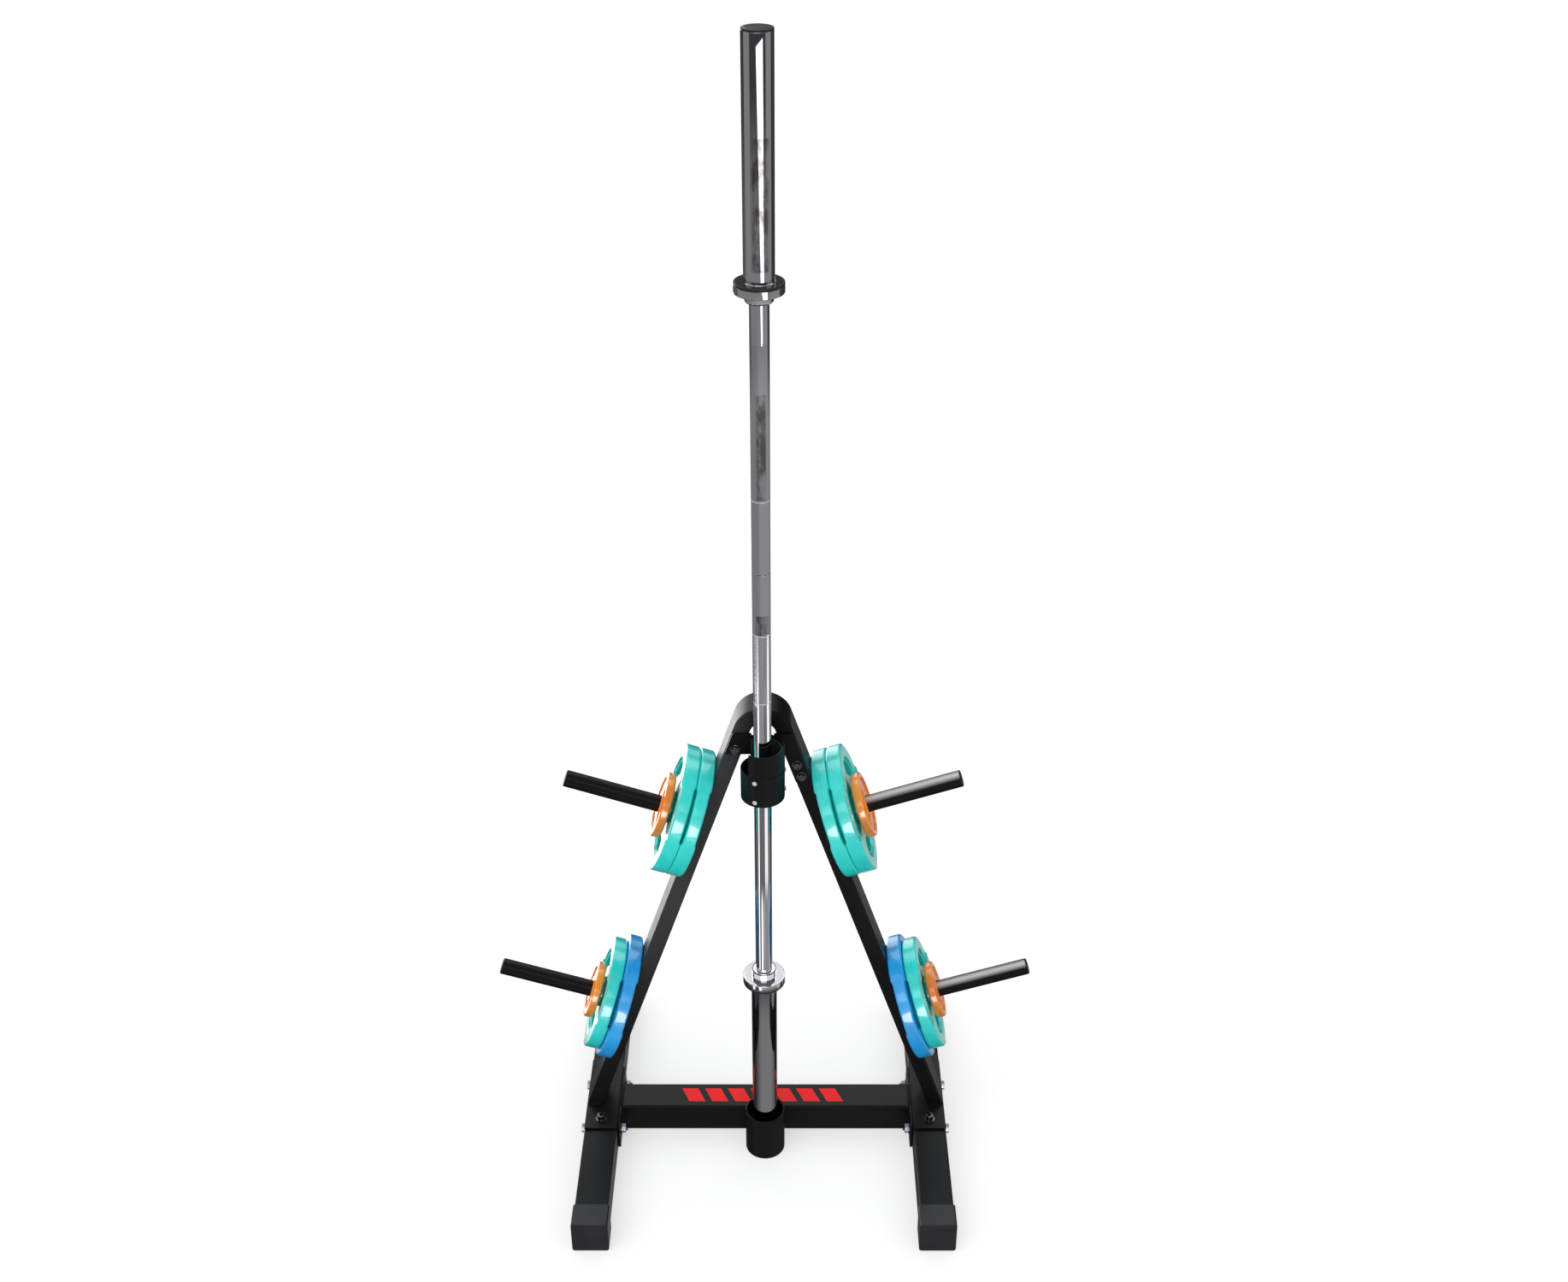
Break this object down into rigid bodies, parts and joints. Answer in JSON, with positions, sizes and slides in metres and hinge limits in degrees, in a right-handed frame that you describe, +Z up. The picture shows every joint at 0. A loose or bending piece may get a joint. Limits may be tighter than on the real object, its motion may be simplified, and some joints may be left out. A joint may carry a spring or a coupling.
{
  "type": "weight plate rack",
  "caption": "A-frame weight plate rack with a cross beam on two feet, four tilted plate pegs, an upright bar holder with a turning lock, coloured plates and a chrome bar.",
  "frame": {"origin": "on the floor, in the middle between the feet and between their front and rear ends", "axes": "+Z up, -Y to the front where the bar stands, +X to the right seen from the front"},
  "size_m": [1.0636, 0.7, 2.2538],
  "materials": {
    "black_coat": "fine-grained satin black powder coat",
    "black_plastic": "moulded satin black plastic",
    "chrome": "polished chrome plate",
    "zinc": "bright zinc plate",
    "teal_coat": "glossy teal coat over cast iron",
    "blue_coat": "glossy blue coat over cast iron",
    "orange_coat": "glossy orange coat over cast iron"
  },
  "bodies": {
    "rack": {"a_frame_tube": "black_coat", "bar_socket": "black_coat", "beam_end_plate_left": "black_coat", "beam_end_plate_right": "black_coat", "bracket_bolt_left": "zinc", "bracket_bolt_lower_right": "zinc", "bracket_bolt_upper_right": "zinc", "cross_beam": "black_coat", "foot_bolt_front_left": "zinc", "foot_bolt_front_right": "zinc", "foot_bolt_rear_left": "zinc", "foot_bolt_rear_right": "zinc", "foot_cap_front_left": "black_plastic", "foot_cap_front_right": "black_plastic", "foot_cap_rear_left": "black_plastic", "foot_cap_rear_right": "black_plastic", "foot_tube_left": "black_coat", "foot_tube_right": "black_coat", "guide_bracket_left": "black_coat", "guide_bracket_right": "black_coat", "guide_guard": "black_coat", "guide_liner": "black_plastic", "leg_saddle_left": "black_coat", "leg_saddle_right": "black_coat", "peg_plug_lower_left": "black_plastic", "peg_plug_lower_right": "black_plastic", "peg_plug_upper_left": "black_plastic", "peg_plug_upper_right": "black_plastic", "plate_peg_lower_left": "black_coat", "plate_peg_lower_right": "black_coat", "plate_peg_upper_left": "black_coat", "plate_peg_upper_right": "black_coat", "saddle_bolt_front_left": "zinc", "saddle_bolt_front_right": "zinc", "saddle_bolt_rear_left": "zinc", "saddle_bolt_rear_right": "zinc"},
    "lock_collar": {"lock_ring": "black_coat", "lock_screw_high_front": "zinc", "lock_screw_high_rear": "zinc", "lock_screw_high_right": "zinc", "lock_screw_low_front": "zinc", "lock_screw_low_rear": "zinc", "lock_screw_low_right": "zinc"},
    "bar": {"bar_shaft": "chrome"},
    "lower_sleeve": {"bar_sleeve_lower": "chrome", "bar_end_cap_lower": "black_plastic"},
    "upper_sleeve": {"bar_sleeve_upper": "chrome", "bar_end_cap_upper": "black_plastic"},
    "upper_left_inner_plate": {"inner_teal_plate_upper_left": "teal_coat"},
    "upper_left_middle_plate": {"middle_teal_plate_upper_left": "teal_coat"},
    "upper_left_outer_plate": {"outer_orange_plate_upper_left": "orange_coat"},
    "lower_left_inner_plate": {"inner_blue_plate_lower_left": "blue_coat"},
    "lower_left_middle_plate": {"middle_teal_plate_lower_left": "teal_coat"},
    "lower_left_outer_plate": {"outer_orange_plate_lower_left": "orange_coat"},
    "upper_right_inner_plate": {"inner_teal_plate_upper_right": "teal_coat"},
    "upper_right_middle_plate": {"middle_teal_plate_upper_right": "teal_coat"},
    "upper_right_outer_plate": {"outer_orange_plate_upper_right": "orange_coat"},
    "lower_right_inner_plate": {"inner_blue_plate_lower_right": "blue_coat"},
    "lower_right_middle_plate": {"middle_teal_plate_lower_right": "teal_coat"},
    "lower_right_outer_plate": {"outer_orange_plate_lower_right": "orange_coat"}
  },
  "joints": [
    {"name": "lock_collar_turn", "type": "hinge", "parent": "rack", "child": "lock_collar", "pos_m": [0, -0.0733, 0.9254], "axis": [0, 0, 1], "range_deg": [0, 108]},
    {"name": "bar_lift", "type": "slide", "parent": "rack", "child": "bar", "axis": [0, 0, 1], "range_m": [0, 0.42]},
    {"name": "lower_sleeve_spin", "type": "hinge", "parent": "bar", "child": "lower_sleeve", "pos_m": [0, -0.0733, 0.26], "axis": [0, 0, 1], "continuous": true},
    {"name": "upper_sleeve_spin", "type": "hinge", "parent": "bar", "child": "upper_sleeve", "pos_m": [0, -0.0733, 2.06], "axis": [0, 0, 1], "continuous": true},
    {"name": "upper_left_inner_plate_slide", "type": "slide", "parent": "rack", "child": "upper_left_inner_plate", "axis": [-0.9473, 0, 0.3203], "range_m": [0, 0.265]},
    {"name": "upper_left_middle_plate_slide", "type": "slide", "parent": "upper_left_inner_plate", "child": "upper_left_middle_plate", "axis": [-0.9473, 0, 0.3203], "range_m": [0, 0.235]},
    {"name": "upper_left_outer_plate_slide", "type": "slide", "parent": "upper_left_middle_plate", "child": "upper_left_outer_plate", "axis": [-0.9473, 0, 0.3203], "range_m": [0, 0.205]},
    {"name": "upper_right_inner_plate_slide", "type": "slide", "parent": "rack", "child": "upper_right_inner_plate", "axis": [0.9473, 0, 0.3203], "range_m": [0, 0.265]},
    {"name": "upper_right_middle_plate_slide", "type": "slide", "parent": "upper_right_inner_plate", "child": "upper_right_middle_plate", "axis": [0.9473, 0, 0.3203], "range_m": [0, 0.235]},
    {"name": "upper_right_outer_plate_slide", "type": "slide", "parent": "upper_right_middle_plate", "child": "upper_right_outer_plate", "axis": [0.9473, 0, 0.3203], "range_m": [0, 0.205]},
    {"name": "lower_left_inner_plate_slide", "type": "slide", "parent": "rack", "child": "lower_left_inner_plate", "axis": [-0.9473, 0, 0.3203], "range_m": [0, 0.265]},
    {"name": "lower_left_middle_plate_slide", "type": "slide", "parent": "lower_left_inner_plate", "child": "lower_left_middle_plate", "axis": [-0.9473, 0, 0.3203], "range_m": [0, 0.235]},
    {"name": "lower_left_outer_plate_slide", "type": "slide", "parent": "lower_left_middle_plate", "child": "lower_left_outer_plate", "axis": [-0.9473, 0, 0.3203], "range_m": [0, 0.205]},
    {"name": "lower_right_inner_plate_slide", "type": "slide", "parent": "rack", "child": "lower_right_inner_plate", "axis": [0.9473, 0, 0.3203], "range_m": [0, 0.265]},
    {"name": "lower_right_middle_plate_slide", "type": "slide", "parent": "lower_right_inner_plate", "child": "lower_right_middle_plate", "axis": [0.9473, 0, 0.3203], "range_m": [0, 0.235]},
    {"name": "lower_right_outer_plate_slide", "type": "slide", "parent": "lower_right_middle_plate", "child": "lower_right_outer_plate", "axis": [0.9473, 0, 0.3203], "range_m": [0, 0.205]}
  ]
}
